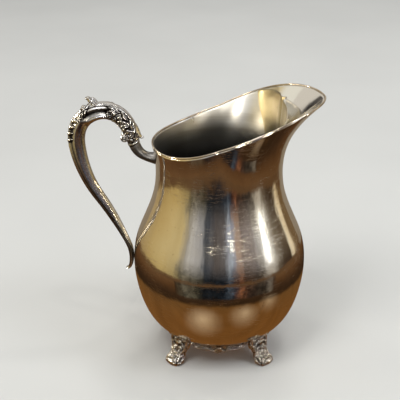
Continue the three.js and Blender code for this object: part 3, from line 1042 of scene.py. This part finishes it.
def make_apron(node, azimuth):
    piece = Piece()
    steps, down = 260, 30
    half = 45 - math.degrees(FOOT_HALF_SPAN / RING_RADIUS)
    off = np.linspace(-half, half, steps)
    arc = np.radians(off) * RING_RADIUS
    low = apron_edge(off) + APRON_LUMP_HEIGHT * np.abs(np.sin(arc * math.pi / APRON_LUMP_PITCH))
    inner, outer = RING_RADIUS - APRON_THICKNESS / 2, RING_RADIUS + APRON_THICKNESS / 2
    up = np.linspace(0, APRON_HEIGHT, down)
    rows = []
    reliefs = []
    for i in range(steps):
        relief = apron_relief(np.full(down, arc[i]), up)
        face = ring_points(outer + relief, azimuth, arc[i], low[i] + up)
        back = ring_points(inner, azimuth, arc[i], low[i] + np.linspace(APRON_HEIGHT, 0.4, 6))
        under = ring_points(inner + 0.5, azimuth, arc[i], low[i : i + 1])
        rows.append(np.vstack([face, back, under]))
        reliefs.append(np.concatenate([relief, np.full(len(back) + 1, 0.5)]))
    grid = np.array(rows)
    relief = np.array(reliefs)
    reach = np.hypot(grid[..., 0], grid[..., 1])
    grid[..., 2] = np.minimum(grid[..., 2], belly_height(reach) - GAP_UNDER_BELLY)
    hollow = np.clip((blurred(relief, 8) - relief) / 0.3, 0, 1)
    deep = np.clip((0.5 - relief) / 0.5, 0, 1) * 0.25
    piece.add_tube(grid, np.clip(0.6 * hollow + deep, 0, 1))
    return piece.build("cast_" + node, [FOOT_CASTING], [node])


# ---- camera, floor, lamps and reflecting cards ------------------------------------------------


def make_camera():
    data = bpy.data.cameras.new("camera")
    data.sensor_width = 36
    data.lens = 80.74
    data.shift_x = -0.048
    camera = bpy.data.objects.new("camera", data)
    camera.location = (AXIS_X / 1000, -0.7182, 0.4743)
    camera.rotation_euler = (math.radians(90 - 24.75), 0, 0)
    bpy.context.scene.collection.objects.link(camera)
    bpy.context.scene.camera = camera


def stage_mesh(name, points, faces, material):
    mesh = bpy.data.meshes.new(name)
    mesh.from_pydata([tuple(p) for p in points], [], faces)
    mesh.polygons.foreach_set("use_smooth", [True] * len(faces))
    mesh.materials.append(material)
    made = bpy.data.objects.new(name, mesh)
    bpy.context.scene.collection.objects.link(made)
    return made


def only_in_reflections(card):
    card.visible_camera = False
    card.visible_diffuse = False
    card.visible_shadow = False
    card.visible_transmission = False
    card.visible_volume_scatter = False


def make_floor():
    f = Finish("pale_floor")
    shade = f.ramp(f.noise(3.0, 3.0), (0.3, linear(200, 203, 204)), (0.7, linear(206, 209, 210)))
    shader = f.node("ShaderNodeBsdfPrincipled")
    f.feed(shader.inputs["Base Color"], shade)
    shader.inputs["Roughness"].default_value = 0.55
    shader.inputs["Specular IOR Level"].default_value = 0.0
    f.feed(shader.inputs["Normal"], f.bump(f.noise(260.0, 3.0), 0.05, 0.0004))
    f.tree.links.new(shader.outputs[0], f.out.inputs[0])
    reach = 9.0
    corners = [(-reach, -reach, 0), (reach, -reach, 0), (reach, reach, 0), (-reach, reach, 0)]
    stage_mesh("floor", corners, [(0, 1, 2, 3)], f.material)


def glow_of(f, colour, strength):
    light = f.node("ShaderNodeEmission")
    f.feed(light.inputs["Color"], colour)
    light.inputs["Strength"].default_value = strength
    f.tree.links.new(light.outputs[0], f.out.inputs[0])
    return f.material


def curved_card(name, start, end, low, high, radius, material):
    """A card that stands round the pitcher, between two azimuths seen from above, 0 at the camera."""
    steps = max(8, int(abs(end - start) / 4))
    points = []
    for k in range(steps + 1):
        angle = math.radians(mix(start, end, k / steps))
        x, y = radius * math.sin(angle) + AXIS_X / 1000, -radius * math.cos(angle)
        points += [(x, y, low), (x, y, high)]
    faces = [(2 * k, 2 * k + 2, 2 * k + 3, 2 * k + 1) for k in range(steps)]
    only_in_reflections(stage_mesh(name, points, faces, material))


# What the metal sees round it, as colours at the foot and at the head of a ring of card:
# azimuth in degrees, foot, head. The camera is at 0 and the mouth of the spout at 90. The colours
# follow what the pitcher reflects in the photograph, direction by direction.
ROOM_COLOURS = [
    (-140, (190, 180, 164), (200, 192, 178)),
    (-126, (168, 150, 116), (188, 174, 144)),
    (-100, (176, 154, 104), (194, 174, 126)),
    (-72, (186, 164, 110), (200, 182, 136)),
    (-55, (164, 148, 106), (198, 182, 138)),
    (-47, (92, 86, 68), (172, 164, 146)),
    (-38, (112, 106, 92), (196, 196, 198)),
    (-24, (80, 76, 64), (176, 178, 186)),
    (-17, (32, 38, 46), (84, 90, 102)),
    (-4, (30, 36, 44), (96, 90, 90)),
    (7, (36, 44, 56), (104, 102, 106)),
    (13, (84, 98, 118), (188, 200, 220)),
    (18, (50, 56, 70), (140, 148, 168)),
    (24, (130, 86, 62), (190, 164, 150)),
    (32, (78, 60, 52), (138, 128, 126)),
    (46, (74, 66, 60), (156, 150, 154)),
    (54, (76, 66, 58), (186, 184, 184)),
    (60, (170, 164, 156), (232, 234, 236)),
    (70, (180, 176, 170), (240, 240, 240)),
    (76, (100, 90, 78), (176, 172, 166)),
    (84, (66, 54, 44), (122, 112, 98)),
    (100, (58, 46, 36), (104, 90, 72)),
    (105, (236, 222, 196), (240, 230, 208)),
    (110, (214, 196, 162), (226, 212, 184)),
    (116, (108, 86, 60), (118, 96, 70)),
    (128, (114, 94, 68), (130, 110, 84)),
    (140, (150, 138, 122), (176, 166, 150)),
]


def room_finish(name, meets_table):
    """Soft upright bands of colour, a little wavering and broken up like a furnished room."""
    f = Finish(name)
    height = f.place()[2]
    turn = f.plus(f.times(f.azimuth(), 0.5 / math.pi), 0.5)
    turn = f.plus(turn, f.waver(f.noise(13.0, 4.0, roughness=0.65), 0.03))
    foot = f.ramp(turn, *[((a + 180) / 360, linear(*low)) for a, low, _ in ROOM_COLOURS])
    head = f.ramp(turn, *[((a + 180) / 360, linear(*high)) for a, _, high in ROOM_COLOURS])
    colour = f.blend(f.ramp(height, (0.06, 0.0), (0.2, 1.0)), foot, head)
    ahead = f.ramp(turn, (0.36, 0.0), (0.375, 1.0), (0.655, 1.0), (0.675, 0.0))
    upright = f.noise(1.0, 4.0, f.scaled((44, 44, 4)), roughness=0.65)
    streaks = f.ramp(upright, (0.36, 0.35), (0.62, 1.0))
    colour = f.blend(f.times(ahead, 0.6), colour, streaks, "MULTIPLY")
    low_down = f.ramp(height, (0.04, 1.0), (0.19, 0.0))
    scraps = f.noise(46.0, 5.0, roughness=0.75, distortion=0.8)
    clutter = f.ramp(scraps, (0.44, 0.12), (0.55, 0.5), (0.66, 1.0))
    busy = f.times(f.times(low_down, ahead), 0.9)
    colour = f.blend(busy, colour, clutter, "OVERLAY")
    handle_side = f.ramp(turn, (0.2, 1.0), (0.25, 0.0))
    high_up = f.ramp(height, (0.27, 0.0), (0.35, 1.0))
    colour = f.blend(f.times(handle_side, high_up), colour, linear(222, 218, 206))
    if meets_table:
        ragged = f.plus(height, f.waver(f.noise(17.0, 3.0), 0.03))
        above = f.ramp(ragged, (0.030, 0.0), (0.038, 1.0))
        colour = f.blend(above, linear(94, 70, 48), colour)
    else:
        # Painted shadow: the ends of the low near card take the dark brown of the table in shade.
        ends = f.ramp(turn, (0.366, 0.0), (0.392, 1.0), (0.655, 1.0), (0.676, 0.0))
        colour = f.blend(ends, linear(56, 40, 27), colour)
    return glow_of(f, colour, 1.1)


def window_finish():
    """A bright window with soft edges all round."""
    f = Finish("window_card")
    hundreds_of_degrees = f.times(f.azimuth(), 1.8 / math.pi)
    across = f.ramp(hundreds_of_degrees, (0.59, 0.0), (0.63, 1.0), (0.67, 1.0), (0.715, 0.0))
    upward = f.ramp(f.place()[2], (0.10, 0.0), (0.16, 1.0))
    power = f.times(f.times(across, upward), 1.7)
    light = f.node("ShaderNodeEmission")
    f.feed(light.inputs["Color"], linear(246, 250, 255))
    f.feed(light.inputs["Strength"], power)
    clear = f.node("ShaderNodeBsdfTransparent")
    both = f.node("ShaderNodeAddShader")
    f.tree.links.new(light.outputs[0], both.inputs[0])
    f.tree.links.new(clear.outputs[0], both.inputs[1])
    f.tree.links.new(both.outputs[0], f.out.inputs[0])
    return f.material


# Lamps that show as soft bright spots inside the mouth: azimuth in degrees, height in metres.
ROOM_LAMPS = [(24, 0.30), (82, 0.26), (-14, 0.32), (-81, 0.26), (-112, 0.29)]


def make_cards():
    """Cards that only the metal sees: a furnished room round it, a low dark card in front for painted
    shadow on the table, a pale wall behind, a warm table.
    """
    room, near = room_finish("room_card", True), room_finish("near_card", False)
    curved_card("room_card", -133, 133, 0.0, CARD_TOP, ROOM_RADIUS, room)
    # Painted shadow: a low dark card close in front of the pitcher stands for the table in shade there.
    curved_card("near_card", -49, 64, 0.0, 0.058, NEAR_RADIUS, near)
    curved_card("window_card", 58, 74, 0.09, 0.6, ROOM_RADIUS - 0.005, window_finish())
    make_room_lamps()
    make_wall_card()
    make_table_card()


def make_room_lamps():
    f = Finish("room_lamp")
    warm = f.ramp(f.noise(40.0), (0.3, linear(255, 240, 214)), (0.7, linear(255, 252, 240)))
    bulb = glow_of(f, warm, 80)
    half_width, half_height, radius = 3.2, 0.02, 0.38
    for k, (azimuth, height) in enumerate(ROOM_LAMPS):
        start, end = azimuth - half_width, azimuth + half_width
        low, high = height - half_height, height + half_height
        curved_card(f"room_lamp_{k}", start, end, low, high, radius, bulb)


def make_wall_card():
    """The pale wall behind, with one dark thing on it that shows in the tip of the spout."""
    f = Finish("wall_card")
    x, _, z = f.place(0.0)
    shade = f.ramp(z, (0.0, linear(140, 128, 112)), (0.2, linear(160, 149, 134)),
                   (0.34, linear(212, 205, 194)))
    away = f.length(f.times(x, 0.8), f.minus(z, 0.285))
    away = f.plus(away, f.waver(f.noise(20.0, 3.0), 0.04))
    patch = f.ramp(away, (0.05, 1.0), (0.062, 0.0))
    dark = f.ramp(f.noise(30.0), (0.35, linear(44, 38, 34)), (0.65, linear(104, 100, 96)))
    left, right, y = -0.62, 0.66, WALL_CARD_Y
    points = [(left, y, 0), (right, y, 0), (right, y, CARD_TOP), (left, y, CARD_TOP)]
    glow = glow_of(f, f.blend(patch, shade, dark), 1.0)
    only_in_reflections(stage_mesh("wall_card", points, [(0, 1, 2, 3)], glow))


def make_table_card():
    """Warm wood colour that the metal sees on the floor close to the pitcher, with a painted shadow
    band round it and painted reflections of lamps on the wood.
    """
    f = Finish("table_card")
    x, y, _ = f.place()
    loose = f.plus(f.length(x, y), f.waver(f.noise(30.0, 2.0), 0.02))
    grain = f.noise(1.0, 5.0, f.scaled((6, 70, 1)), roughness=0.6, distortion=0.4)
    # Painted shadow: the wood goes dark brown from about 17 to 21 cm from the axis, and lighter again
    # further out.
    colour = f.ramp(loose, (0.10, linear(122, 82, 42)), (0.166, linear(114, 80, 44)),
                    (0.178, linear(54, 38, 24)), (0.21, linear(60, 42, 28)),
                    (0.29, linear(92, 64, 40)), (0.42, linear(116, 86, 58)))
    shade = f.ramp(grain, (0.3, 0.72), (0.7, 1.0))
    colour = f.blend(1.0, colour, shade, "MULTIPLY")
    # Painted reflections of lamps on the wood: three pale pools, as x, y, size and strength.
    painted_lamp_pools = ((-0.036, -0.114, 0.05, 0.75), (0.062, -0.12, 0.046, 0.62), (0.135, -0.085, 0.046, 0.45))
    for spot_x, spot_y, size, power in painted_lamp_pools:
        away = f.length(f.minus(x, spot_x), f.minus(y, spot_y))
        near = f.math("SUBTRACT", 1.0, f.math("DIVIDE", away, size), clamp=True)
        glow = f.times(f.math("POWER", near, 1.4), power)
        colour = f.blend(glow, colour, linear(214, 192, 164))
    left, right, front, back, z = -0.6, 0.64, -0.45, WALL_CARD_Y, 0.0004
    points = [(left, front, z), (right, front, z), (right, back, z), (left, back, z)]
    only_in_reflections(stage_mesh("table_card", points, [(0, 1, 2, 3)], glow_of(f, colour, 1.1)))


def area_lamp(name, place, target, size, power, colour):
    data = bpy.data.lights.new(name, "AREA")
    data.shape = "DISK"
    data.size = size
    data.energy = power
    data.color = colour
    lamp = bpy.data.objects.new(name, data)
    lamp.location = place
    direction = Vector(target) - Vector(place)
    lamp.rotation_euler = direction.to_track_quat("-Z", "Y").to_euler()
    bpy.context.scene.collection.objects.link(lamp)


def make_lights():
    world = bpy.data.worlds.new("studio")
    bpy.context.scene.world = world
    world.use_nodes = True
    world.node_tree.nodes["Background"].inputs[0].default_value = (*linear(214, 211, 206), 1)
    world.node_tree.nodes["Background"].inputs[1].default_value = 0.75
    middle = (0, 0, 0.1)
    area_lamp("key", (-0.7, -0.9, 1.9), middle, 0.9, 16, (1.0, 0.96, 0.9))
    area_lamp("fill", (1.3, -0.5, 1.5), middle, 0.8, 9, (0.96, 0.98, 1.0))
    area_lamp("back", (0.3, 1.2, 1.7), middle, 0.8, 8, (1.0, 0.97, 0.93))
    spots = ((-0.25, -0.55, 2.0), (0.3, -0.7, 2.0), (0.55, 0.25, 2.0), (-0.5, 0.35, 2.0))
    for k, place in enumerate(spots):
        area_lamp(f"ceiling_{k}", place, middle, 0.14, 2.2, (1.0, 0.95, 0.86))


make_camera()
make_body()
make_rim()
make_guard()
make_handle()
for name, azimuth in (("foot_back_right", 45), ("foot_back_left", 135),
                      ("foot_front_left", 225), ("foot_front_right", 315)):
    make_foot(name, azimuth)
for name, azimuth in (("apron_right", 0), ("apron_back", 90), ("apron_left", 180), ("apron_front", 270)):
    make_apron(name, azimuth)
make_floor()
make_cards()
make_lights()
bpy.context.scene.view_settings.view_transform = "Standard"
